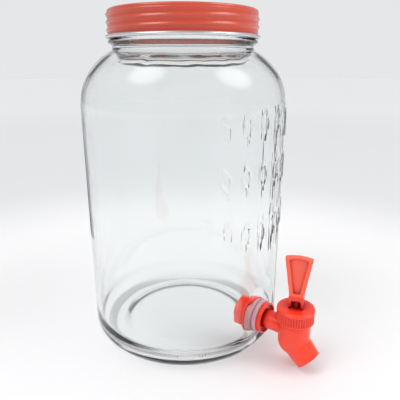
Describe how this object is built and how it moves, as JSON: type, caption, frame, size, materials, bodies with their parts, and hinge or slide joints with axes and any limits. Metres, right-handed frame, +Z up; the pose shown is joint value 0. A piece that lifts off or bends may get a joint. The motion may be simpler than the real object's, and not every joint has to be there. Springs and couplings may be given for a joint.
{
  "type": "drink dispenser jar",
  "caption": "Round clear jar with a wide screw neck, a ridged metal screw lid and a sprung lever tap at its foot.",
  "frame": {"origin": "centre of the foot ring, on the plane that the jar stands on", "axes": "+Z up along the jar's axis; the tap points along -Y"},
  "size_m": [0.152, 0.1977, 0.249],
  "materials": {
    "glass": "gloss",
    "coral_lacquer": "gloss",
    "liner": "matte",
    "coral_plastic": "gloss",
    "silicone": "matte",
    "steel": "satin"
  },
  "bodies": {
    "jar": {"jar_glass": "glass", "tap_body": "coral_plastic", "shank_nut": "coral_plastic", "inner_washer": "silicone", "outer_washer": "silicone", "bonnet_cap": "coral_plastic"},
    "liner": {"lid_liner": "liner"},
    "lid": {"lid_shell": "coral_lacquer"},
    "seat": {"seat_cup": "silicone", "return_spring": "steel"},
    "stem": {"valve_stem": "coral_plastic", "handle_pin": "steel"},
    "lever": {"handle_lever": "coral_plastic"}
  },
  "joints": [
    {"name": "lid_lift", "type": "slide", "parent": "jar", "child": "liner", "axis": [0, 0, 1], "range_m": [0, 0.0255]},
    {"name": "lid_turn", "type": "hinge", "parent": "liner", "child": "lid", "pos_m": [0, 0, 0.24], "axis": [0, 0, 1], "range_deg": [0, 1800]},
    {"name": "stem_lift", "type": "slide", "parent": "jar", "child": "seat", "axis": [0, 0, 1], "range_m": [0, 0.00315], "deforming": ["return_spring"]},
    {"name": "lever_swivel", "type": "hinge", "parent": "seat", "child": "stem", "pos_m": [0, -0.1025, 0.03], "axis": [0, 0, 1], "continuous": true},
    {"name": "lever_tilt", "type": "hinge", "parent": "stem", "child": "lever", "pos_m": [0, -0.1025, 0.0522], "axis": [-0.3256, 0.9455, 0], "range_deg": [0, 45], "stiffness_Nm_per_rad": 0.0048, "springref_deg": -143.24}
  ],
  "couplings": [
    {"joint": "lid_lift", "follows": "lid_turn", "m_per_rad": 0.00080851},
    {"joint": "stem_lift", "follows": "lever_tilt", "m_per_rad": 0.004}
  ]
}
